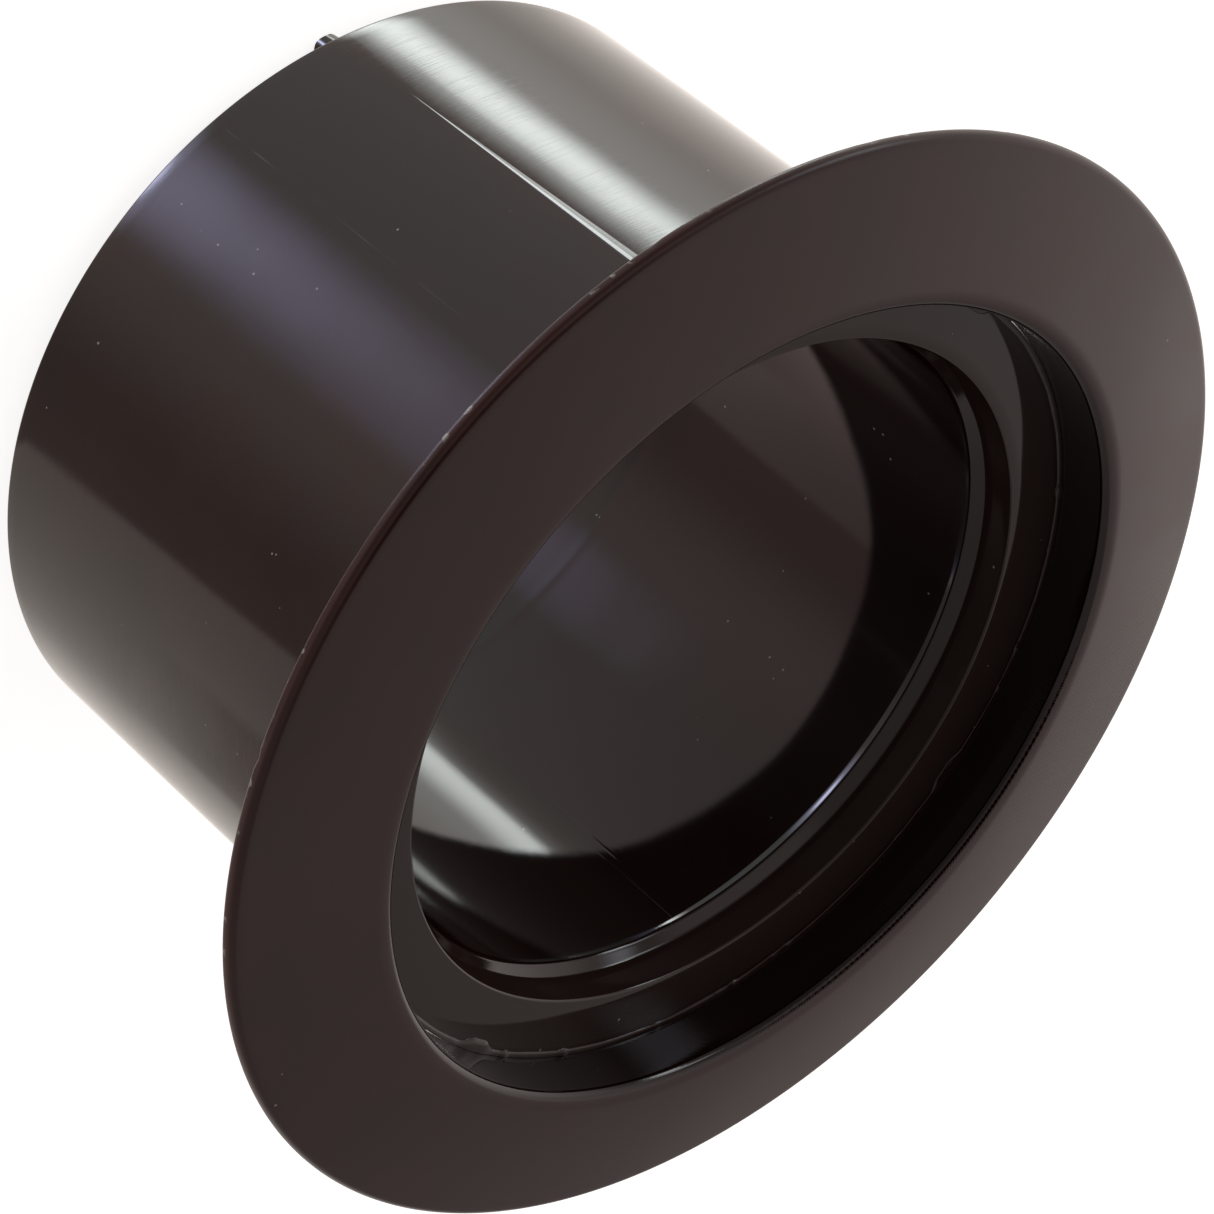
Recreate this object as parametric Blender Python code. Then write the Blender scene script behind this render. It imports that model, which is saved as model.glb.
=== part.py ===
"""Flanged waste sleeve for a floor cut-out: a domed collar cemented round the top of a plain spigot.

Metres, +Z up. The origin is on the axis, in the plane of the flange's underside, which is the plane
of the floor that the collar hangs on. The mouth faces up and the spigot points down.
"""
import math

import bmesh
import bpy
from mathutils import Matrix, Vector

# Collar: the flange, whose face climbs from the rim to the mouth, with a short hub behind it
FLANGE_DIAMETER = 0.1230
RIM_THICKNESS = 0.0015
MOUTH_RISE = 0.0025
RIM_FRONT_ROUND = 0.0010
RIM_BACK_ROUND = 0.0004
MOUTH_ROUND = 0.0012
HUB_WALL = 0.0030
HUB_DEPTH = 0.0068
HUB_FILLET = 0.0010
HUB_END_CHAMFER = 0.0005

# Sleeve: the plain tube, with its counterbore, stop rib and gate stub
SPIGOT_DIAMETER = 0.0889
SPIGOT_WALL = 0.0076
SPIGOT_REACH = 0.0617
RECESS_DEPTH = 0.0066
COUNTERBORE_WALL = 0.0066
COUNTERBORE_DEPTH = 0.0038
LEAD_CHAMFER_DEPTH = 0.0011
LEDGE_EDGE_ROUND = 0.0003
SPIGOT_END_ROUND = 0.0005
CEMENT_BEVEL_DEPTH = 0.0004
RIB_LENGTH = 0.0418
RIB_HEIGHT = 0.0004
RIB_BASE_WIDTH = 0.0014
RIB_CREST_WIDTH = 0.0005
RIB_ANGLE = math.radians(236.8)
STUB_DIAMETER = 0.0036
STUB_HEIGHT = 0.0021
STUB_EDGE_INSET = 0.0025
STUB_ANGLE = RIB_ANGLE

# Cement bead in the corner of the recess, with its squeezed-out lumps
BEAD_WIDTH = 0.0007
BEAD_HEIGHT = 0.0006
LUMP_GROWTH = 0.6
LUMP_HALF_ARC = math.radians(3.5)
LUMP_COUNT = 4
FIRST_LUMP_ANGLE = math.radians(12.0)

# Fits: the film of cement between two bonded faces, and how deep a joined boss is rooted
CEMENT_FILM = 0.0003
ROOT_DEPTH = 0.0015

# Facets of the turned shapes
TURNED_STEPS = 72
BEAD_STEPS = 144
ARC_STEPS = 3
STUB_STEPS = 20
SHARP_ANGLE = math.radians(35.0)

# Sizes that follow from the ones above
FLANGE_RADIUS = FLANGE_DIAMETER / 2
SPIGOT_RADIUS = SPIGOT_DIAMETER / 2
BORE_RADIUS = SPIGOT_RADIUS - SPIGOT_WALL
COUNTERBORE_RADIUS = SPIGOT_RADIUS - COUNTERBORE_WALL
SOCKET_RADIUS = SPIGOT_RADIUS + CEMENT_FILM
HUB_RADIUS = SOCKET_RADIUS + HUB_WALL
MOUTH_HEIGHT = RIM_THICKNESS + MOUTH_RISE
LEDGE_HEIGHT = MOUTH_HEIGHT - RECESS_DEPTH
CEMENT_BEVEL_WIDTH = BEAD_WIDTH * (1 + LUMP_GROWTH) + CEMENT_FILM


def clear_scene():
    """Start from an empty scene."""
    for leftover in list(bpy.data.objects):
        bpy.data.objects.remove(leftover, do_unlink=True)


def plastic(name, colour, roughness):
    """Black moulded plastic with its own tone and gloss."""
    material = bpy.data.materials.new(name)
    material.use_nodes = True
    shader = material.node_tree.nodes["Principled BSDF"]
    shader.inputs["Base Color"].default_value = (*colour, 1.0)
    shader.inputs["Roughness"].default_value = roughness
    shader.inputs["Metallic"].default_value = 0.0
    return material


def arc(centre, radius, start, end):
    """Points of a round corner, as radius and height, from one angle to the other in degrees."""
    points = []
    for step in range(ARC_STEPS + 1):
        angle = math.radians(start + (end - start) * step / ARC_STEPS)
        points.append((centre[0] + radius * math.cos(angle), centre[1] + radius * math.sin(angle)))
    return points


def object_from(name, shape, material):
    """Turn a finished bmesh into a named object with smooth round faces."""
    mesh = bpy.data.meshes.new(name)
    bmesh.ops.recalc_face_normals(shape, faces=shape.faces)
    shape.to_mesh(mesh)
    shape.free()
    mesh.shade_smooth()
    mesh.set_sharp_from_angle(angle=SHARP_ANGLE)
    mesh.materials.append(material)
    made = bpy.data.objects.new(name, mesh)
    bpy.context.collection.objects.link(made)
    return made


def turned(outline, steps):
    """Spin a closed outline of radius and height points once round the Z axis."""
    shape = bmesh.new()
    corners = [shape.verts.new((radius, 0.0, height)) for radius, height in outline]
    edges = [shape.edges.new((corners[i - 1], corners[i])) for i in range(len(corners))]
    bmesh.ops.spin(
        shape,
        geom=corners + edges,
        cent=(0.0, 0.0, 0.0),
        axis=(0.0, 0.0, 1.0),
        angle=math.tau,
        steps=steps,
        use_merge=True,
    )
    return shape


def join(body, boss):
    """Unite a boss with the body that it is moulded on."""
    boss.hide_render = True
    boss.display_type = "WIRE"
    union = body.modifiers.new("joined_" + boss.name, "BOOLEAN")
    union.operation = "UNION"
    union.solver = "EXACT"
    union.object = boss


def flange_collar(material):
    """The domed flange, its rounded rim and mouth, and the hub that sockets the sleeve."""
    rim_centre = (FLANGE_RADIUS - RIM_FRONT_ROUND, RIM_THICKNESS - RIM_FRONT_ROUND)
    mouth_centre = (SOCKET_RADIUS + MOUTH_ROUND, MOUTH_HEIGHT - MOUTH_ROUND)
    across = rim_centre[0] - mouth_centre[0]
    climb = mouth_centre[1] - rim_centre[1]
    slope = math.atan2(climb, across) + math.asin((MOUTH_ROUND - RIM_FRONT_ROUND) / math.hypot(across, climb))
    face_turn = 90 - math.degrees(slope)
    outline = [
        (SOCKET_RADIUS, -HUB_DEPTH),
        (HUB_RADIUS - HUB_END_CHAMFER, -HUB_DEPTH),
        (HUB_RADIUS, HUB_END_CHAMFER - HUB_DEPTH),
    ]
    outline += arc((HUB_RADIUS + HUB_FILLET, -HUB_FILLET), HUB_FILLET, 180, 90)
    outline += arc((FLANGE_RADIUS - RIM_BACK_ROUND, RIM_BACK_ROUND), RIM_BACK_ROUND, 270, 360)
    outline += arc(rim_centre, RIM_FRONT_ROUND, 0, face_turn)
    outline += arc(mouth_centre, MOUTH_ROUND, face_turn, 180)
    return object_from("flange_collar", turned(outline, TURNED_STEPS), material)


def stop_rib(material):
    """The thin rib on the sleeve, highest under the hub and running out towards the spigot's end."""
    top = -HUB_DEPTH - CEMENT_FILM
    root = SPIGOT_RADIUS - ROOT_DEPTH
    shape = bmesh.new()
    ends = []
    for height, crest in ((top, SPIGOT_RADIUS + RIB_HEIGHT), (top - RIB_LENGTH, SPIGOT_RADIUS)):
        ends.append([
            shape.verts.new((root, -RIB_BASE_WIDTH / 2, height)),
            shape.verts.new((root, RIB_BASE_WIDTH / 2, height)),
            shape.verts.new((crest, RIB_CREST_WIDTH / 2, height)),
            shape.verts.new((crest, -RIB_CREST_WIDTH / 2, height)),
        ])
    upper, lower = ends
    shape.faces.new(upper)
    shape.faces.new(lower)
    for corner in range(len(upper)):
        following = (corner + 1) % len(upper)
        shape.faces.new((upper[corner], upper[following], lower[following], lower[corner]))
    rib = object_from("stop_rib", shape, material)
    rib.rotation_euler.z = RIB_ANGLE
    return rib


def gate_stub(material):
    """The trimmed stub that the moulding gate left standing on the spigot's end."""
    shape = bmesh.new()
    bmesh.ops.create_cone(
        shape,
        cap_ends=True,
        segments=STUB_STEPS,
        radius1=STUB_DIAMETER / 2,
        radius2=STUB_DIAMETER / 2,
        depth=STUB_HEIGHT + ROOT_DEPTH,
    )
    out = Vector((math.cos(STUB_ANGLE), math.sin(STUB_ANGLE), 0.0)) * (SPIGOT_RADIUS - STUB_EDGE_INSET)
    middle = (ROOT_DEPTH - STUB_HEIGHT) / 2 - SPIGOT_REACH
    bmesh.ops.transform(shape, matrix=Matrix.Translation((out.x, out.y, middle)), verts=shape.verts)
    return object_from("gate_stub", shape, material)


def spigot_sleeve(material):
    """The tube below the collar, counterbored and chamfered at the mouth."""
    counterbore_floor = LEDGE_HEIGHT - COUNTERBORE_DEPTH
    ledge_round_centre = (COUNTERBORE_RADIUS + LEDGE_EDGE_ROUND, LEDGE_HEIGHT - LEDGE_EDGE_ROUND)
    end_round_height = SPIGOT_END_ROUND - SPIGOT_REACH
    outline = [
        (SPIGOT_RADIUS, LEDGE_HEIGHT - CEMENT_BEVEL_DEPTH),
        (SPIGOT_RADIUS - CEMENT_BEVEL_WIDTH, LEDGE_HEIGHT),
        *arc(ledge_round_centre, LEDGE_EDGE_ROUND, 90, 180),
        (COUNTERBORE_RADIUS, counterbore_floor),
        (BORE_RADIUS, counterbore_floor - LEAD_CHAMFER_DEPTH),
        *arc((BORE_RADIUS + SPIGOT_END_ROUND, end_round_height), SPIGOT_END_ROUND, 180, 270),
        *arc((SPIGOT_RADIUS - SPIGOT_END_ROUND, end_round_height), SPIGOT_END_ROUND, 270, 360),
    ]
    sleeve = object_from("spigot_sleeve", turned(outline, TURNED_STEPS), material)
    join(sleeve, stop_rib(material))
    join(sleeve, gate_stub(material))
    return sleeve


def lump_at(angle):
    """How far the bead swells at an angle round the mouth, from 0 between the lumps to 1 on one."""
    spacing = math.tau / LUMP_COUNT
    offset = (angle - FIRST_LUMP_ANGLE + spacing / 2) % spacing - spacing / 2
    if abs(offset) >= LUMP_HALF_ARC:
        return 0.0
    return math.cos(math.pi / 2 * offset / LUMP_HALF_ARC) ** 2


def cement_bead(material):
    """The bead squeezed into the corner between the collar's wall and the sleeve's bevelled end."""
    corner = (SOCKET_RADIUS - CEMENT_FILM, LEDGE_HEIGHT - CEMENT_BEVEL_DEPTH + CEMENT_FILM)
    toe_rise = BEAD_WIDTH * CEMENT_BEVEL_DEPTH / CEMENT_BEVEL_WIDTH
    slope = []
    for step in range(ARC_STEPS + 1):
        angle = math.pi / 2 * step / ARC_STEPS
        rise = BEAD_HEIGHT * math.cos(angle) + toe_rise * math.sin(angle)
        slope.append((corner[0] - BEAD_WIDTH * math.sin(angle), corner[1] + rise))
    shape = turned([corner] + slope, BEAD_STEPS)
    for vertex in shape.verts:
        growth = 1.0 + LUMP_GROWTH * lump_at(math.atan2(vertex.co.y, vertex.co.x))
        radius = math.hypot(vertex.co.x, vertex.co.y)
        swollen = corner[0] + (radius - corner[0]) * growth
        vertex.co.x *= swollen / radius
        vertex.co.y *= swollen / radius
        vertex.co.z = corner[1] + (vertex.co.z - corner[1]) * growth
    return object_from("cement_bead", shape, material)


clear_scene()
axis = bpy.data.objects.new("sleeve_axis", None)
bpy.context.collection.objects.link(axis)
pieces = [
    flange_collar(plastic("satin_black_plastic", (0.026, 0.021, 0.019), 0.42)),
    spigot_sleeve(plastic("gloss_black_plastic", (0.012, 0.010, 0.009), 0.18)),
    cement_bead(plastic("black_cement", (0.016, 0.014, 0.014), 0.15)),
]
for piece in pieces:
    piece.parent = axis
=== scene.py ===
"""Looks of the flanged waste sleeve: satin collar, glossy spigot and the cement bead in the recess."""
import math

import bmesh
import bpy
from mathutils import Matrix, Vector, noise


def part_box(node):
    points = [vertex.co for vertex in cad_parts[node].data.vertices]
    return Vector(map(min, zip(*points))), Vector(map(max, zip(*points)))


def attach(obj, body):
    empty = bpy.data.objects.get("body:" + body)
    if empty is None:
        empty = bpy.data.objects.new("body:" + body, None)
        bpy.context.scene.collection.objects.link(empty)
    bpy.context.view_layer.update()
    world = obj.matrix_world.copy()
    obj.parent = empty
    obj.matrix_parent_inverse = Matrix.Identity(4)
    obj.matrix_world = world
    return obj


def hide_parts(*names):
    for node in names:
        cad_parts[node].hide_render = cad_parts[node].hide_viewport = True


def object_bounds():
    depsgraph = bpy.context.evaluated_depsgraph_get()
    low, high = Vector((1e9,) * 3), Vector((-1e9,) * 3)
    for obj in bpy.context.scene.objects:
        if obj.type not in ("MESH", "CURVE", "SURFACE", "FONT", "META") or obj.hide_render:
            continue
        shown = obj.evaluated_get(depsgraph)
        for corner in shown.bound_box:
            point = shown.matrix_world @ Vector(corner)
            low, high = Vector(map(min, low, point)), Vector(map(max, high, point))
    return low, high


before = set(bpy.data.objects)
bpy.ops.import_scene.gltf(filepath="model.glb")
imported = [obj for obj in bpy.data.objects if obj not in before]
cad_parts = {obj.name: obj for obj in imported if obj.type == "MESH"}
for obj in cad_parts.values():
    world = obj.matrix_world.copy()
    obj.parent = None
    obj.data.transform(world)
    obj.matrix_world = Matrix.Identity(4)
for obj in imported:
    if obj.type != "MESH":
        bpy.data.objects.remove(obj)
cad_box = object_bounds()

# Sizes read from the frame
collar_low, collar_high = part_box("flange_collar")
sleeve_low, sleeve_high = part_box("spigot_sleeve")
FLANGE_RADIUS = collar_high.x
MOUTH_HEIGHT = collar_high.z
HUB_END = collar_low.z
SPIGOT_RADIUS = sleeve_high.x
LEDGE_HEIGHT = sleeve_high.z
STUB_END = sleeve_low.z

# Collar sizes, in metres
RIM_THICKNESS = 0.0015
RIM_FRONT_ROUND = 0.0010
RIM_BACK_ROUND = 0.0004
RIM_SLOPE = math.radians(11.5)
MOUTH_ROUND = 0.0010
MOUTH_CROWN = 0.0050
MOUTH_SLOPE = math.radians(8.0)
CROWN_FALL = math.radians(8.0)
HUB_WALL = 0.0030
HUB_FILLET = 0.0010
HUB_END_CHAMFER = 0.0005
CEMENT_FILM = 0.0003
SOCKET_RADIUS = SPIGOT_RADIUS + CEMENT_FILM
HUB_RADIUS = SOCKET_RADIUS + HUB_WALL
FLASH_DEPTH = 0.00010
MOUTH_STEPS = 14

# Sleeve sizes, in metres
SPIGOT_WALL = 0.0076
COUNTERBORE_WALL = 0.0066
COUNTERBORE_DEPTH = 0.0038
LEAD_CHAMFER_DEPTH = 0.0011
LEDGE_EDGE_ROUND = 0.0003
STEP_ROUND = 0.00010
BURR_REACH = 0.00010
BURR_DEPTH = 0.0009
SPIGOT_END_ROUND = 0.0005
STUB_HEIGHT = 0.0021
STUB_DIAMETER = 0.0036
STUB_EDGE_INSET = 0.0025
STUB_TEAR = 0.00025
STUB_TAPER = 0.9
STUB_STEPS = 36
LEDGE_OUTER_BEVEL = 0.0001
BORE_RADIUS = SPIGOT_RADIUS - SPIGOT_WALL
COUNTERBORE_RADIUS = SPIGOT_RADIUS - COUNTERBORE_WALL
BORE_TOP = LEDGE_HEIGHT - COUNTERBORE_DEPTH - LEAD_CHAMFER_DEPTH
SPIGOT_END = STUB_END + STUB_HEIGHT

# Stop rib: steep on one side, shallow on the other, drawn out to a point
RIB_ANGLE = math.radians(236.8)
RIB_LENGTH = 0.0418
RIB_TOP = HUB_END - CEMENT_FILM
RIB_PROFILE = ((-0.00115, 0.0), (-0.00035, 0.00005), (0.0003, 0.00013), (0.0005, 0.0))
RIB_LEAST = 0.06
RIB_RUN_OUT = 0.011
RIB_MARGIN = 0.0001
RIB_NEAR = math.radians(2.0)
RIB_FAR = math.radians(3.5)
STUB_ANGLE = RIB_ANGLE

# Marks of the moulding on the sleeve; each knit line has its angle in degrees, its top and its end
PARTING_ANGLE = math.radians(256.6)
PARTING_HEIGHT = 0.000018
PARTING_WIDTH = 0.00028
KNIT_HEIGHT = 0.000010
KNIT_WIDTH = 0.0005
KNIT_TOP_FADE = 0.003
KNIT_END_FADE = 0.006
KNIT_LINES = ((52.9, -0.0080, -0.0215), (54.4, -0.0165, -0.0350))
RING_HEIGHT = -0.0534
RING_DEPTH = 0.000007
RING_HALF_WIDTH = 0.0004
SINK_DEPTH = 0.00010
SINK_ANGLE = math.radians(88)
SINK_HALF_ARC = math.radians(42)
SINK_TOP = -0.010
SINK_END = -0.024
ON_WALL = 0.00002
LEDGE_MARGIN = 0.0002
OUTER_WAVE = 0.00002
BORE_WAVE = 0.00003

# Cement bead, in metres
BEAD_WIDTH = 0.0007
BEAD_HEIGHT = 0.0003
LUMP_ANGLES = [math.radians(10 + 90 * quarter) for quarter in range(4)]
LUMP_HALF_ARC = math.radians(4.0)
BEAD_FAR_SIDE = math.radians(78)
BEAD_FAR_REACH = math.radians(38)
BEAD_WALL = SOCKET_RADIUS - 0.00004
BEAD_FOOT = LEDGE_HEIGHT + 0.00001
BEAD_SHARP = 60.0
BEAD_ARC_STEPS = 8

# Camera, from the ellipses of the flange and the tube
PHOTO_SIDE = 1214
FOCAL_PIXELS = 4559
SENSOR_WIDTH = 36.0
CAMERA_PLACE = Vector((0.00182, -0.36921, 0.24561))
CAMERA_ELEVATION = math.radians(35.595)
CAMERA_ROLL = math.radians(129.72)
SHIFT_RIGHT_PIXELS = 1.6
SHIFT_DOWN_PIXELS = 1.5

# Floor
FLOOR_GAP = 0.0002
FLOOR_HALF_SIDE = 3.0
FLOOR_PALE = (0.8, 0.8, 0.8, 1.0)
FLOOR_WHITE = (1.0, 1.0, 1.0, 1.0)
FLOOR_GLOW = 0.85

# Steps of the turned shapes
ARC_STEPS = 8
FACE_STEPS = 24
BURR_STEPS = 8
TUBE_STEP = 0.0012
COLLAR_TURN = 1.0
SLEEVE_TURN = 1.0
BEAD_TURN = 0.5
KNIT_STRETCH = (51, 56, 0.1)
RIB_FINE_BEFORE = 1.6
RIB_FINE_AFTER = 0.8
RIB_TURN = 0.08
PARTING_FINE = 0.4
PARTING_TURN = 0.08
PLASTIC_SHARP = 35.0
MERGE_DISTANCE = 0.000001


def smooth(value):
    """A soft step from 0 to 1 as the value goes from 0 to 1."""
    value = min(max(value, 0.0), 1.0)
    return value * value * (3 - 2 * value)


def turn_between(angle, other):
    """The shortest turn from another angle to this one, in radians."""
    return (angle - other + math.pi) % math.tau - math.pi


def grain(*place):
    """Smooth noise between -1 and 1 at a place."""
    return noise.noise(Vector(place))


def arc(centre, radius, start, end, steps=ARC_STEPS):
    """Points of a round corner, as radius and height, from one angle to the other in degrees."""
    points = []
    for step in range(steps + 1):
        angle = math.radians(start + (end - start) * step / steps)
        points.append((centre[0] + radius * math.cos(angle), centre[1] + radius * math.sin(angle)))
    return points


def line(start, end):
    """Points strictly between two points of an outline, about a tube step apart."""
    count = max(1, round(math.dist(start, end) / TUBE_STEP))
    points = []
    for step in range(1, count):
        share = step / count
        points.append((start[0] + (end[0] - start[0]) * share, start[1] + (end[1] - start[1]) * share))
    return points


def stretches(step, *fine):
    """Turns once round with their steps, closer where fine gives a start, an end and a step in degrees."""
    turns = []
    here = 0.0
    for start, end, close in fine:
        turns.append((math.radians(start - here), round((start - here) / step)))
        turns.append((math.radians(end - start), round((end - start) / close)))
        here = end
    turns.append((math.radians(360 - here), round((360 - here) / step)))
    return turns


def turned(outline, turns, moved):
    """Spin a closed outline of radius and height points round the Z axis, then shift each point."""
    shape = bmesh.new()
    corners = [shape.verts.new((radius, 0.0, height)) for radius, height in outline]
    front = corners + [shape.edges.new((corners[i - 1], corners[i])) for i in range(len(corners))]
    for angle, steps in turns:
        made = bmesh.ops.spin(shape, geom=front, cent=(0, 0, 0), axis=(0, 0, 1), angle=angle, steps=steps)
        front = made["geom_last"]
    bmesh.ops.remove_doubles(shape, verts=shape.verts, dist=MERGE_DISTANCE)
    for vertex in shape.verts:
        across = math.hypot(vertex.co.x, vertex.co.y)
        radius, height, angle = moved(across, vertex.co.z, math.atan2(vertex.co.y, vertex.co.x))
        vertex.co = (radius * math.cos(angle), radius * math.sin(angle), height)
    return shape


def finished(name, shape, material, node, sharp=PLASTIC_SHARP):
    """Make a piece of a bmesh, and let it stand for its CAD node."""
    bmesh.ops.recalc_face_normals(shape, faces=shape.faces)
    mesh = bpy.data.meshes.new(name)
    shape.to_mesh(mesh)
    shape.free()
    mesh.shade_smooth()
    mesh.set_sharp_from_angle(angle=math.radians(sharp))
    mesh.materials.append(material)
    piece = bpy.data.objects.new(name, mesh)
    bpy.context.collection.objects.link(piece)
    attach(piece, "root")
    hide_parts(node)
    return piece


def face_points(start, start_slope, end, end_slope):
    """Points of the domed face between the rim's rounding and the mouth's, tangent to both."""
    reach = math.dist(start, end)
    leave = Vector((-math.cos(start_slope), math.sin(start_slope))) * reach
    arrive = Vector((-math.cos(end_slope), math.sin(end_slope))) * reach
    first = Vector(start)
    last = Vector(end)
    points = []
    for step in range(1, FACE_STEPS):
        t = step / FACE_STEPS
        place = first * (2 * t**3 - 3 * t**2 + 1) + leave * (t**3 - 2 * t**2 + t)
        place += last * (3 * t**2 - 2 * t**3) + arrive * (t**3 - t**2)
        points.append((place.x, place.y))
    return points


def collar_shift(radius, height, angle):
    """Nicks in the flash on the flange's back edge."""
    if radius < FLANGE_RADIUS - RIM_BACK_ROUND or height > RIM_BACK_ROUND * 1.5:
        return radius, height, angle
    ring = (math.cos(angle) * 40, math.sin(angle) * 40)
    ragged = smooth(grain(ring[0] * 2.5, ring[1] * 2.5, 3.0) * 1.6) * smooth(grain(*ring, 8.0) * 2.0)
    return radius - FLASH_DEPTH * ragged, height + FLASH_DEPTH * ragged, angle


def collar(material):
    """The domed flange with its rounded mouth, the hub behind it and the flash on its back edge."""
    rim_centre = (FLANGE_RADIUS - RIM_FRONT_ROUND, RIM_THICKNESS - RIM_FRONT_ROUND)
    crown_end = math.pi / 2 + CROWN_FALL
    inward = MOUTH_CROWN - MOUTH_ROUND
    crown_centre = (SOCKET_RADIUS + MOUTH_ROUND - inward * math.cos(crown_end), MOUTH_HEIGHT - MOUTH_CROWN)
    lip_centre = (SOCKET_RADIUS + MOUTH_ROUND, crown_centre[1] + inward * math.sin(crown_end))
    rim = arc(rim_centre, RIM_FRONT_ROUND, 0, 90 - math.degrees(RIM_SLOPE))
    mouth = arc(crown_centre, MOUTH_CROWN, 90 - math.degrees(MOUTH_SLOPE), math.degrees(crown_end))
    mouth += arc(lip_centre, MOUTH_ROUND, math.degrees(crown_end), 180, MOUTH_STEPS)[1:]
    outline = [
        (SOCKET_RADIUS, HUB_END),
        (HUB_RADIUS - HUB_END_CHAMFER, HUB_END),
        (HUB_RADIUS, HUB_END + HUB_END_CHAMFER),
    ]
    outline += arc((HUB_RADIUS + HUB_FILLET, -HUB_FILLET), HUB_FILLET, 180, 90)
    outline += arc((FLANGE_RADIUS - RIM_BACK_ROUND, RIM_BACK_ROUND), RIM_BACK_ROUND, 270, 360)
    outline += rim + face_points(rim[-1], RIM_SLOPE, mouth[0], MOUTH_SLOPE) + mouth
    shape = turned(outline, stretches(COLLAR_TURN), collar_shift)
    return finished("flange_collar_moulded", shape, material, "flange_collar")


def rib_taper(height):
    """How wide the rib is at a height, as a share of its width under the flange."""
    along = (height - RIB_TOP) / RIB_LENGTH + 1
    if along > 0:
        return max(RIB_LEAST, min(along, 1.0))
    return RIB_LEAST + (1 - RIB_LEAST) * smooth(-along * RIB_LENGTH / RIB_RUN_OUT)


def rib_rise(across):
    """How far the rib stands out of the tube, by the place across it."""
    for (start, low), (end, high) in zip(RIB_PROFILE, RIB_PROFILE[1:]):
        if start <= across <= end:
            return low + (high - low) * (across - start) / (end - start)
    return 0.0


def ridge(angle, centre, width, height):
    """A small rounded ridge along the axis."""
    across = abs(turn_between(angle, centre)) * SPIGOT_RADIUS
    return height * smooth(1.0 - across / (width / 2))


def sleeve_shift(radius, height, angle):
    """Rib, parting line, knit lines and the slight unevenness of the moulded walls."""
    ring = (math.cos(angle) * 1.3, math.sin(angle) * 1.3)
    if radius > SPIGOT_RADIUS - ON_WALL and height < LEDGE_HEIGHT - LEDGE_MARGIN:
        radius -= OUTER_WAVE * (1 + grain(*ring, height * 60))
        broken = smooth(0.5 + 1.5 * grain(height * 420, 5.0, 2.0))
        radius += ridge(angle, PARTING_ANGLE, PARTING_WIDTH, PARTING_HEIGHT) * broken
        turn = turn_between(angle, RIB_ANGLE)
        taper = rib_taper(height)
        if RIB_TOP - RIB_LENGTH < height < RIB_TOP + RIB_MARGIN:
            radius += rib_rise(turn * SPIGOT_RADIUS) * taper
        apart = smooth((abs(turn) - RIB_NEAR) / (RIB_FAR - RIB_NEAR))
        angle = RIB_ANGLE + turn * (taper + (1 - taper) * apart)
    elif radius < BORE_RADIUS + ON_WALL:
        radius += BORE_WAVE * grain(*ring, height * 40 + 7)
        side = smooth(1.6 - 1.6 * abs(turn_between(angle, SINK_ANGLE)) / SINK_HALF_ARC)
        radius -= SINK_DEPTH * side * smooth((SINK_TOP - height) / (SINK_TOP - SINK_END))
        for middle, top, end in KNIT_LINES:
            ends = smooth((top - height) / KNIT_TOP_FADE) * smooth((height - end) / KNIT_END_FADE)
            radius -= ridge(angle, math.radians(middle), KNIT_WIDTH, KNIT_HEIGHT) * ends
    return radius, height, angle


def add_stub(shape):
    """The trimmed gate stub on the spigot's end, with its torn top."""
    made = bmesh.ops.create_cone(
        shape,
        cap_ends=True,
        segments=STUB_STEPS,
        radius1=STUB_DIAMETER / 2,
        radius2=STUB_DIAMETER / 2,
        depth=STUB_HEIGHT,
    )
    out = SPIGOT_RADIUS - STUB_EDGE_INSET
    middle = Vector((math.cos(STUB_ANGLE) * out, math.sin(STUB_ANGLE) * out, (STUB_END + SPIGOT_END) / 2))
    for vertex in made["verts"]:
        if vertex.co.z < 0:
            vertex.co.z += STUB_TEAR * (1 + grain(vertex.co.x * 900, vertex.co.y * 900, 4.0))
            vertex.co.x *= STUB_TAPER
            vertex.co.y *= STUB_TAPER
        vertex.co += middle


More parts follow.
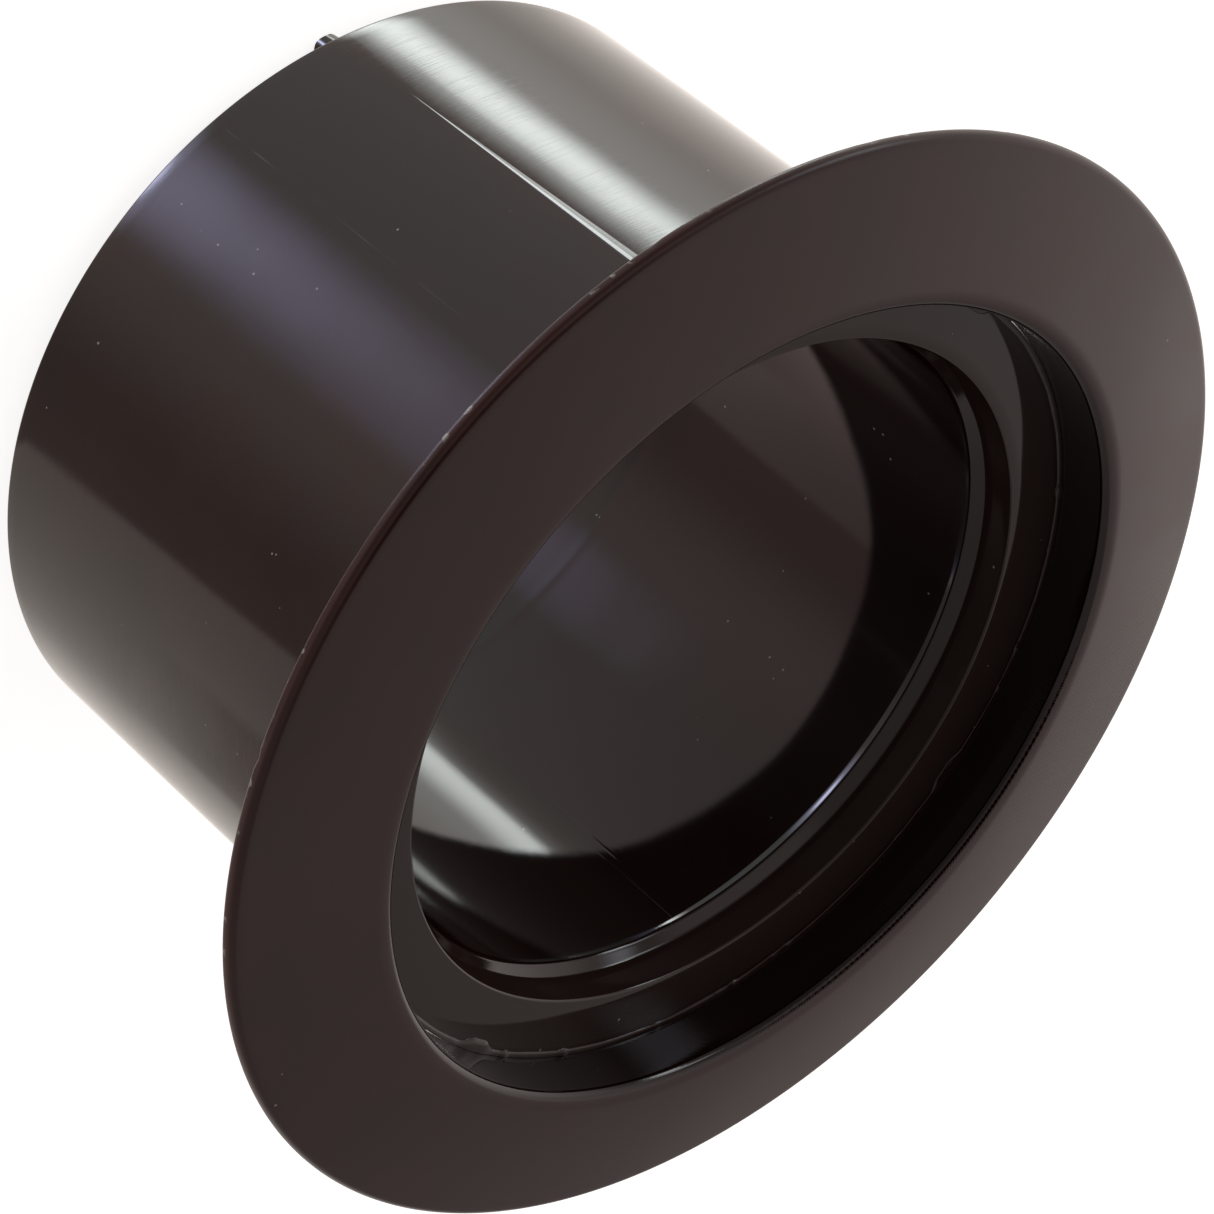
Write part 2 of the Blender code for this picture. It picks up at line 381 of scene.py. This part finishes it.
def sleeve(material):
    """The tube with its counterbore, lead chamfer, rib, stub and moulding marks."""
    floor_height = LEDGE_HEIGHT - COUNTERBORE_DEPTH
    round_height = SPIGOT_END + SPIGOT_END_ROUND
    outline = [(SPIGOT_RADIUS - LEDGE_OUTER_BEVEL, LEDGE_HEIGHT)]
    outline += line((SPIGOT_RADIUS, LEDGE_HEIGHT), (COUNTERBORE_RADIUS + LEDGE_EDGE_ROUND, LEDGE_HEIGHT))
    ledge_centre = (COUNTERBORE_RADIUS + LEDGE_EDGE_ROUND, LEDGE_HEIGHT - LEDGE_EDGE_ROUND)
    outline += arc(ledge_centre, LEDGE_EDGE_ROUND, 90, 180)
    outline += line(outline[-1], (COUNTERBORE_RADIUS, floor_height))
    outline += [
        (COUNTERBORE_RADIUS, floor_height + STEP_ROUND),
        (COUNTERBORE_RADIUS - STEP_ROUND, floor_height - STEP_ROUND),
        (COUNTERBORE_RADIUS - STEP_ROUND * 2, floor_height - STEP_ROUND * 2),
        (BORE_RADIUS + STEP_ROUND * 2, BORE_TOP + STEP_ROUND * 2),
        (BORE_RADIUS + STEP_ROUND, BORE_TOP + STEP_ROUND),
        (BORE_RADIUS - BURR_REACH * 0.6, BORE_TOP - STEP_ROUND * 0.6),
    ]
    for step in range(1, BURR_STEPS + 1):
        share = step / BURR_STEPS
        burr_radius = BORE_RADIUS - BURR_REACH * (1 - smooth(share))
        outline.append((burr_radius, BORE_TOP - STEP_ROUND - BURR_DEPTH * share))
    inner_end = arc((BORE_RADIUS + SPIGOT_END_ROUND, round_height), SPIGOT_END_ROUND, 180, 270)
    outer_end = arc((SPIGOT_RADIUS - SPIGOT_END_ROUND, round_height), SPIGOT_END_ROUND, 270, 360)
    ring_line = [
        (BORE_RADIUS, RING_HEIGHT + RING_HALF_WIDTH),
        (BORE_RADIUS - RING_DEPTH, RING_HEIGHT),
        (BORE_RADIUS, RING_HEIGHT - RING_HALF_WIDTH),
    ]
    outline += line(outline[-1], ring_line[0]) + ring_line
    outline += line(ring_line[-1], inner_end[0]) + inner_end + outer_end
    outer_top = (SPIGOT_RADIUS, LEDGE_HEIGHT - LEDGE_OUTER_BEVEL)
    outline += line(outer_end[-1], outer_top)
    outline.append(outer_top)
    rib = math.degrees(RIB_ANGLE)
    parting = math.degrees(PARTING_ANGLE)
    turns = stretches(
        SLEEVE_TURN,
        KNIT_STRETCH,
        (rib - RIB_FINE_BEFORE, rib + RIB_FINE_AFTER, RIB_TURN),
        (parting - PARTING_FINE, parting + PARTING_FINE, PARTING_TURN),
    )
    shape = turned(outline, turns, sleeve_shift)
    add_stub(shape)
    return finished("spigot_sleeve_moulded", shape, material, "spigot_sleeve")


def bead_shift(radius, height, angle):
    """Width and height of the bead round the recess: fuller on the far side, with lens-shaped lumps."""
    ring = (math.cos(angle) * 9, math.sin(angle) * 9)
    uneven = grain(*ring, 1.0) + 0.3 * grain(ring[0] * 6, ring[1] * 6, 6.0)
    far = smooth(3 * (1 - abs(turn_between(angle, BEAD_FAR_SIDE)) / BEAD_FAR_REACH))
    lump = max(smooth(1.4 - 1.4 * abs(turn_between(angle, middle)) / LUMP_HALF_ARC) for middle in LUMP_ANGLES)
    burr = smooth(5 * grain(ring[0] * 3, ring[1] * 3, 11.0) - 1.6)
    width = 0.85 + 0.15 * uneven + 0.2 * far + 0.3 * burr + 1.2 * lump
    rise = 0.60 + 0.15 * uneven + 0.30 * far + 0.5 * burr + 0.5 * lump
    return BEAD_WALL - (BEAD_WALL - radius) * width, BEAD_FOOT + (height - BEAD_FOOT) * rise, angle


def bead(material):
    """The thin uneven bead in the corner of the recess."""
    outline = [(BEAD_WALL, BEAD_FOOT)]
    for step in range(BEAD_ARC_STEPS + 1):
        angle = math.pi / 2 * step / BEAD_ARC_STEPS
        outline.append((BEAD_WALL - BEAD_WIDTH * math.sin(angle), BEAD_FOOT + BEAD_HEIGHT * math.cos(angle)))
    shape = turned(outline, stretches(BEAD_TURN), bead_shift)
    return finished("cement_bead_squeezed", shape, material, "cement_bead", BEAD_SHARP)


class Network:
    """A node tree, with short ways to add and join nodes."""

    def __init__(self, tree):
        self.tree = tree

    def node(self, kind, **values):
        made = self.tree.nodes.new(kind)
        for key, value in values.items():
            setattr(made, key, value)
        return made

    def feed(self, socket, value):
        """Join an output to a socket, or set the socket to a constant."""
        if isinstance(value, bpy.types.NodeSocket):
            self.tree.links.new(value, socket)
        else:
            socket.default_value = value

    def sum(self, operation, *values):
        """A number worked out of others by one operation."""
        made = self.node("ShaderNodeMath", operation=operation)
        for socket, value in zip(made.inputs, values):
            self.feed(socket, value)
        return made.outputs["Value"]

    def product(self, *values):
        """A product of numbers."""
        total = values[0]
        for value in values[1:]:
            total = self.sum("MULTIPLY", total, value)
        return total

    def step(self, value, start, end, low=0.0, high=1.0):
        """A soft step of a number between two values."""
        made = self.node("ShaderNodeMapRange", interpolation_type="SMOOTHSTEP")
        self.feed(made.inputs["Value"], value)
        rising = start < end
        made.inputs["From Min"].default_value = start if rising else end
        made.inputs["From Max"].default_value = end if rising else start
        made.inputs["To Min"].default_value = low if rising else high
        made.inputs["To Max"].default_value = high if rising else low
        return made.outputs["Result"]

    def band(self, value, start, full, fade, end):
        """From 0 at start to 1 between full and fade, and back to 0 at end, of a number."""
        return self.product(self.step(value, start, full), self.step(value, end, fade))


class Shading(Network):
    """A material's node tree, with its shader and the place of a point on the piece."""

    def __init__(self, name):
        self.material = bpy.data.materials.new(name)
        self.material.use_nodes = True
        super().__init__(self.material.node_tree)
        self.shader = self.tree.nodes["Principled BSDF"]
        self.place = self.node("ShaderNodeTexCoord").outputs["Object"]

    def noise(self, place, scale, detail=2.0, rough=0.5):
        made = self.node("ShaderNodeTexNoise")
        self.feed(made.inputs["Vector"], place)
        made.inputs["Scale"].default_value = scale
        made.inputs["Detail"].default_value = detail
        made.inputs["Roughness"].default_value = rough
        return made.outputs["Fac"]

    def vector(self, x, y, z):
        made = self.node("ShaderNodeCombineXYZ")
        for socket, value in zip(made.inputs, (x, y, z)):
            self.feed(socket, value)
        return made.outputs["Vector"]

    def round_place(self):
        """Angle round the axis, height and radius of a point."""
        parts = self.node("ShaderNodeSeparateXYZ")
        self.feed(parts.inputs["Vector"], self.place)
        x, y, z = parts.outputs
        angle = self.sum("ARCTAN2", y, x)
        radius = self.sum("SQRT", self.sum("ADD", self.product(x, x), self.product(y, y)))
        return angle, z, radius

    def specks(self, scale, size, share):
        """Small dust specks in about a share of the cells of a scale."""
        cells = self.node("ShaderNodeTexVoronoi")
        self.feed(cells.inputs["Vector"], self.place)
        cells.inputs["Scale"].default_value = scale
        pick = self.node("ShaderNodeSeparateColor")
        self.feed(pick.inputs["Color"], cells.outputs["Color"])
        chosen = self.sum("LESS_THAN", pick.outputs["Red"], share)
        spread = self.product(pick.outputs["Green"], pick.outputs["Green"])
        reach = self.product(spread, pick.outputs["Green"], size)
        return self.product(chosen, self.sum("LESS_THAN", cells.outputs["Distance"], reach))

    def mix(self, share, first, second):
        made = self.node("ShaderNodeMix", data_type="RGBA")
        self.feed(made.inputs["Factor"], share)
        self.feed(made.inputs["A"], first)
        self.feed(made.inputs["B"], second)
        return made.outputs["Result"]

    def bump(self, height, strength, depth, under=None):
        made = self.node("ShaderNodeBump")
        self.feed(made.inputs["Height"], height)
        made.inputs["Strength"].default_value = strength
        made.inputs["Distance"].default_value = depth
        if under is not None:
            self.feed(made.inputs["Normal"], under)
        return made.outputs["Normal"]


# Tones of the plastic, painted shade for the mouth's wall and the bore, painted light for the ledge and
# counterbore, a painted highlight for the knit line, and the dust
SATIN_BROWN = (0.0250, 0.0040, 0.0030, 1.0)
SATIN_BLACK = (0.0190, 0.0028, 0.0020, 1.0)
BROWN_BLACK = (0.0165, 0.0032, 0.0016, 1.0)
DEEP_BLACK = (0.0110, 0.0022, 0.0012, 1.0)
# Painted shade: a darker black for the wall inside the mouth and for the bore
PAINTED_SHADE_BLACK = (0.0085, 0.0028, 0.0022, 1.0)
# Painted light: a lighter black for the ledge, the counterbore and its lead chamfer, in place of the light
# they mirror
COUNTERBORE_PAINTED_LIGHT = (0.0235, 0.0135, 0.0110, 1.0)
# Painted highlight: a grey line on the knit line in the bore
SEAM_PAINTED_HIGHLIGHT = (0.060, 0.050, 0.045, 1.0)
DUST = (0.24, 0.22, 0.20, 1.0)
PLASTIC_IOR = 1.5

# Places in the bore of the painted highlight on the knit line and of the hazy patches: angles in radians
# round from +X, heights in metres, as start, full, fade and end
SEAM_HIGHLIGHT_ANGLES = (0.9207, 0.9233, 0.9239, 0.9265)
SEAM_HIGHLIGHT_HEIGHTS = (-0.0240, -0.0190, -0.0086, -0.0078)
HAZY_SIDE_ANGLES = (-0.62, -0.45, 0.30, 0.42)
HAZY_FAR_ANGLES = (0.94, 1.00, 1.36, 1.45)

# Spacing of the weave on the face, as radians of a sine wave for each metre
WEAVE_TURNS = 13000.0


def satin_plastic():
    """Satin face with a fine grain, a faint weave on one side, painted shade on the wall inside the mouth,
    chips on the back edge and a little dust.
    """
    look = Shading("satin_black_plastic")
    _, height, radius = look.round_place()
    tone = look.noise(look.place, 90.0, 4.0, 0.6)
    base = look.mix(look.step(tone, 0.35, 0.65), SATIN_BLACK, SATIN_BROWN)
    # Painted shade: the wall inside the mouth gets a darker black
    on_wall = look.step(radius, SOCKET_RADIUS + 0.0012, SOCKET_RADIUS + 0.0002)
    base = look.mix(on_wall, base, PAINTED_SHADE_BLACK)
    dust = look.specks(330.0, 0.06, 0.3)
    chips = look.product(
        look.step(radius, FLANGE_RADIUS - 0.0006, FLANGE_RADIUS - 0.0003),
        look.step(height, 0.0008, 0.0003),
        look.step(look.noise(look.place, 650.0, 2.0), 0.60, 0.66),
        look.step(look.noise(look.place, 55.0, 1.0), 0.48, 0.56),
    )
    look.feed(look.shader.inputs["Base Color"], look.mix(look.sum("MAXIMUM", dust, chips), base, DUST))
    cloud = look.noise(look.place, 45.0, 3.0)
    satin = look.step(cloud, 0.3, 0.7, 0.30, 0.36)
    rough = look.product(satin, look.step(on_wall, 0.0, 1.0, 1.0, 0.3))
    look.feed(look.shader.inputs["Roughness"], rough)
    look.shader.inputs["IOR"].default_value = PLASTIC_IOR
    fine = look.noise(look.place, 2600.0, 2.0)
    parts = look.node("ShaderNodeSeparateXYZ")
    look.feed(parts.inputs["Vector"], look.place)
    weave = look.product(
        look.sum("SINE", look.product(parts.outputs["X"], WEAVE_TURNS)),
        look.sum("SINE", look.product(parts.outputs["Y"], WEAVE_TURNS)),
        look.step(parts.outputs["Y"], 0.030, 0.050),
    )
    relief = look.sum("ADD", fine, look.product(weave, 2.0))
    look.feed(look.shader.inputs["Normal"], look.bump(relief, 0.12, 0.00004))
    return look.material


def gloss_plastic():
    """Glossy tube with fine scratches round it, scratches along the bore, and dust, with painted shade in the
    bore, painted light on the ledge and counterbore, and a painted highlight on a knit line.
    """
    look = Shading("gloss_black_plastic")
    angle, height, radius = look.round_place()
    tone = look.noise(look.place, 60.0, 3.0)
    base = look.mix(look.step(tone, 0.3, 0.7), DEEP_BLACK, BROWN_BLACK)
    inside = look.step(radius, COUNTERBORE_RADIUS + 0.0002, COUNTERBORE_RADIUS + 0.0001)
    outside = look.step(radius, SPIGOT_RADIUS - 0.001, SPIGOT_RADIUS - 0.0005)
    # Painted light above the bore's top, on the ledge, counterbore and chamfer; painted shade below it, in
    # the bore
    lip = look.step(height, BORE_TOP - STEP_ROUND, BORE_TOP + STEP_ROUND)
    base = look.mix(outside, look.mix(lip, PAINTED_SHADE_BLACK, COUNTERBORE_PAINTED_LIGHT), base)
    # Painted highlight: a grey line on the knit line's groove in the bore, broken up by noise
    seam_highlight = look.product(
        look.band(angle, *SEAM_HIGHLIGHT_ANGLES),
        look.band(height, *SEAM_HIGHLIGHT_HEIGHTS),
        look.sum("SUBTRACT", 1.0, outside),
        look.step(look.noise(look.place, 900.0, 2.0), 0.35, 0.60, 0.15, 0.6),
    )
    base = look.mix(seam_highlight, base, SEAM_PAINTED_HIGHLIGHT)
    dust = look.specks(520.0, 0.09, 0.45)
    look.feed(look.shader.inputs["Base Color"], look.mix(dust, base, DUST))
    round_spread = look.vector(look.product(angle, 6.0), look.product(height, 6000.0), 0.0)
    round_lines = look.noise(round_spread, 1.0, 3.0, 0.7)
    long_spread = look.vector(look.product(angle, 320.0), look.product(height, 60.0), 4.0)
    long_lines = look.noise(long_spread, 1.0, 3.0, 0.7)
    rear = look.step(height, -0.016, -0.050)
    patchy = look.step(look.noise(look.place, 28.0, 2.0), 0.40, 0.70)
    worn = look.product(outside, look.step(look.product(rear, patchy), 0.0, 1.0, 0.55, 1.0))
    hazy_side = look.band(angle, *HAZY_SIDE_ANGLES)
    hazy_far = look.band(angle, *HAZY_FAR_ANGLES)
    haze = look.sum(
        "ADD",
        look.product(hazy_side, look.step(height, -0.036, -0.044), 0.55),
        look.product(hazy_far, look.step(height, -0.034, -0.040), 0.05),
    )
    haze = look.product(haze, look.step(radius, BORE_RADIUS + 0.0004, BORE_RADIUS + 0.0002))
    scratched = look.product(worn, look.step(round_lines, 0.50, 0.66, 0.0, 0.16))
    look.feed(look.shader.inputs["Roughness"], look.sum("ADD", look.sum("ADD", 0.045, scratched), haze))
    look.shader.inputs["IOR"].default_value = PLASTIC_IOR
    marks = look.sum("ADD", look.product(round_lines, worn), look.product(long_lines, inside, 0.35))
    waves = look.bump(look.noise(look.place, 70.0, 1.0), 0.10, 0.0004)
    look.feed(look.shader.inputs["Normal"], look.bump(marks, 0.10, 0.00006, waves))
    return look.material


def cement():
    """Set cement: glossy, black, slightly lumpy."""
    look = Shading("black_cement")
    tone = look.noise(look.place, 500.0, 2.0)
    look.feed(look.shader.inputs["Base Color"], look.mix(tone, DEEP_BLACK, BROWN_BLACK))
    look.feed(look.shader.inputs["Roughness"], look.step(tone, 0.3, 0.7, 0.10, 0.20))
    look.feed(look.shader.inputs["Normal"], look.bump(tone, 0.1, 0.00005))
    look.shader.inputs["IOR"].default_value = PLASTIC_IOR
    return look.material


def camera():
    """The view of the photo."""
    data = bpy.data.cameras.new("photo_camera")
    data.sensor_width = SENSOR_WIDTH
    data.lens = FOCAL_PIXELS / PHOTO_SIDE * SENSOR_WIDTH
    data.clip_start = 0.01
    data.shift_x = -SHIFT_RIGHT_PIXELS / PHOTO_SIDE
    data.shift_y = SHIFT_DOWN_PIXELS / PHOTO_SIDE
    eye = bpy.data.objects.new("photo_camera", data)
    bpy.context.collection.objects.link(eye)
    level = Matrix.Rotation(math.pi / 2 - CAMERA_ELEVATION, 4, "X")
    roll = Matrix.Rotation(CAMERA_ROLL, 4, "Z")
    eye.matrix_world = Matrix.Translation(CAMERA_PLACE) @ level @ roll
    bpy.context.scene.camera = eye


def floor():
    """The plain pale floor under the object."""
    shape = bmesh.new()
    bmesh.ops.create_grid(shape, x_segments=1, y_segments=1, size=FLOOR_HALF_SIDE)
    bmesh.ops.translate(shape, vec=(0.0, 0.0, cad_box[0][2] - FLOOR_GAP), verts=shape.verts)
    mesh = bpy.data.meshes.new("floor")
    shape.to_mesh(mesh)
    shape.free()
    material = bpy.data.materials.new("pale_floor")
    material.use_nodes = True
    shader = material.node_tree.nodes["Principled BSDF"]
    shader.inputs["Base Color"].default_value = FLOOR_PALE
    shader.inputs["Roughness"].default_value = 0.9
    shader.inputs["Specular IOR Level"].default_value = 0.0
    shader.inputs["Emission Color"].default_value = FLOOR_WHITE
    shader.inputs["Emission Strength"].default_value = FLOOR_GLOW
    mesh.materials.append(material)
    plate = bpy.data.objects.new("floor", mesh)
    bpy.context.collection.objects.link(plate)
    plate.visible_glossy = False


def direction(azimuth, elevation):
    """Unit vector that points at an azimuth round from +X and an elevation, both in degrees."""
    turn = math.radians(azimuth)
    rise = math.radians(elevation)
    return Vector((math.cos(rise) * math.cos(turn), math.cos(rise) * math.sin(turn), math.sin(rise)))


class Studio(Network):
    """The room's light as soft-edged panels, each a product of soft edges in direction space."""

    def __init__(self):
        world = bpy.data.worlds.new("studio")
        world.use_nodes = True
        bpy.context.scene.world = world
        super().__init__(world.node_tree)
        self.look = self.node("ShaderNodeTexCoord").outputs["Generated"]
        parts = self.node("ShaderNodeSeparateXYZ")
        self.feed(parts.inputs["Vector"], self.look)
        self.azimuth = self.sum("ARCTAN2", parts.outputs["Y"], parts.outputs["X"])
        self.total = None

    def edge(self, normal, start, end):
        """A soft edge across the direction's share along a normal."""
        share = self.node("ShaderNodeVectorMath", operation="DOT_PRODUCT")
        self.feed(share.inputs[0], self.look)
        self.feed(share.inputs[1], normal)
        return self.step(share.outputs["Value"], start, end)

    def level(self, start, end):
        """A soft edge between two elevations, in degrees."""
        return self.edge(Vector((0.0, 0.0, 1.0)), math.sin(math.radians(start)), math.sin(math.radians(end)))

    def spot(self, azimuth, elevation, radius):
        """A round spot that fades out at a radius in degrees."""
        return self.edge(direction(azimuth, elevation), math.cos(math.radians(radius)), 1.0)

    def span(self, start, full, fade, end):
        """Azimuths in degrees, in rising order, where a panel starts, is full, starts to fade and ends."""
        middle = math.radians((full + fade) / 2)
        turn = self.sum("WRAP", self.sum("SUBTRACT", self.azimuth, middle), math.pi, -math.pi)
        limits = [math.radians(limit) - middle for limit in (start, full, fade, end)]
        return self.band(turn, *limits)

    def panel(self, colour, edges):
        """Add a panel of a colour, which may be negative to darken, inside all its soft edges."""
        scaled = self.node("ShaderNodeVectorMath", operation="SCALE")
        self.feed(scaled.inputs[0], colour)
        self.feed(scaled.inputs["Scale"], self.product(*edges))
        if self.total is None:
            self.total = scaled.outputs["Vector"]
            return
        summed = self.node("ShaderNodeVectorMath", operation="ADD")
        self.feed(summed.inputs[0], self.total)
        self.feed(summed.inputs[1], scaled.outputs["Vector"])
        self.total = summed.outputs["Vector"]

    def light(self):
        """Send the sum of the panels to the background."""
        self.feed(self.tree.nodes["Background"].inputs["Color"], self.total)


# Colours of the light
WARM = Vector((1.08, 1.0, 0.93))
WARM_ABOVE = Vector((1.12, 1.0, 0.95))
WHITE = Vector((0.95, 1.03, 1.0))
PALE_BLUE = Vector((0.92, 0.95, 1.06))
COOL = Vector((0.85, 0.90, 1.30))
VIOLET = Vector((0.85, 0.78, 1.35))
TEAL_TINT = Vector((0.0, 0.08, 0.12))
RED_TINT = Vector((0.13, 0.02, 0.03))
ROSE_TINT = Vector((0.11, 0.05, 0.06))


def surround(room, warm):
    """The pale surround below, brighter on one side, darker on the other up to one sharp slanted edge."""
    room.panel(warm * 0.70, [room.level(5, -8)])
    room.panel(warm * 0.34, [room.level(5, -8), room.span(70, 105, 180, 205)])
    slant = direction(334.8, -34.5).cross(direction(345.0, -42.5)).normalized()
    room.panel(warm * -0.41, [
        room.level(0, -10),
        room.edge(slant, 0.006, -0.006),
        room.span(278, 324, 350, 360),
    ])
    room.panel(warm * -0.16, [room.level(-39.5, -32.5), room.level(0, -10), room.span(185, 195, 270, 305)])
    room.panel(warm * -0.30, [
        room.level(-39.5, -32.5),
        room.level(0, -10),
        room.edge(slant, -0.006, 0.006),
        room.span(330, 334, 390, 395),
    ])
    room.panel(warm * -0.25, [room.level(-39.2, -38.0), room.level(-35, -37), room.span(364, 370, 398, 404)])
    room.panel(TEAL_TINT, [room.level(-35.5, -38), room.span(198, 206, 245, 260)])
    room.panel(RED_TINT, [room.level(-38, -35.5), room.level(0, -10), room.span(235, 275, 395, 400)])
    room.panel(ROSE_TINT, [room.level(-38, -35.5), room.level(0, -10), room.span(195, 205, 235, 265)])
    room.panel(warm * 0.16, [room.level(5, -8), room.span(395, 415, 435, 455)])
    room.panel(warm * 0.12, [room.level(5, -8), room.span(70, 90, 118, 140)])


def lamps(room):
    """The strip lamp with its skirt, its upper part, and the cool lamp."""
    bottom = room.level(-53, -49)
    top = room.level(-33.3, -33.8)
    room.panel(WHITE * 8.0, [bottom, room.level(-36, -38.5), room.span(173.5, 185, 186, 197)])
    room.panel(WHITE * 5.5, [room.level(-38.5, -36), top, room.span(170, 183, 184, 187.5)])
    room.panel(WHITE * 1.1, [bottom, top, room.span(150, 178, 183, 193)])
    room.panel(WHITE * 5.0, [room.level(6, 10), room.level(24, 20), room.span(174, 178, 183, 187)])
    room.panel(PALE_BLUE * 2.6, [room.level(20, 24), room.level(36, 32), room.span(166, 180, 184, 196)])
    room.panel(COOL * 2.2, [room.spot(262, -53, 15)])
    room.panel(COOL * 9.0, [room.spot(262, -53, 7)])
    room.panel(VIOLET * 0.62, [room.spot(264, -41, 15), room.level(-34, -37)])


def room_above(room, warm):
    """The dimmer room above: dark ceiling, a lighter patch behind the camera, the wall the face mirrors."""
    room.panel(warm * 0.31, [room.level(-8, 5)])
    room.panel(warm * 0.31, [room.level(34, 54), room.span(40, 70, 140, 180)])
    room.panel(warm * -0.34, [room.level(59, 71)])
    room.panel(warm * 0.22, [room.level(36, 42), room.level(60, 52), room.span(178, 190, 236, 262)])
    room.panel(warm * -0.14, [room.level(-8, 5), room.level(40, 30), room.span(195, 215, 300, 330)])
    room.panel(warm * 0.50, [room.level(-8, 5), room.level(60, 30), room.span(92, 108, 155, 174)])
    room.panel(warm * 0.30, [room.level(-8, 5), room.level(42, 18), room.span(88, 104, 140, 160)])


def studio_light():
    """All the light in the room."""
    room = Studio()
    surround(room, WARM)
    lamps(room)
    room_above(room, WARM_ABOVE)
    room.light()


bpy.context.scene.view_settings.view_transform = "Standard"
camera()
floor()
studio_light()
collar(satin_plastic())
sleeve(gloss_plastic())
bead(cement())
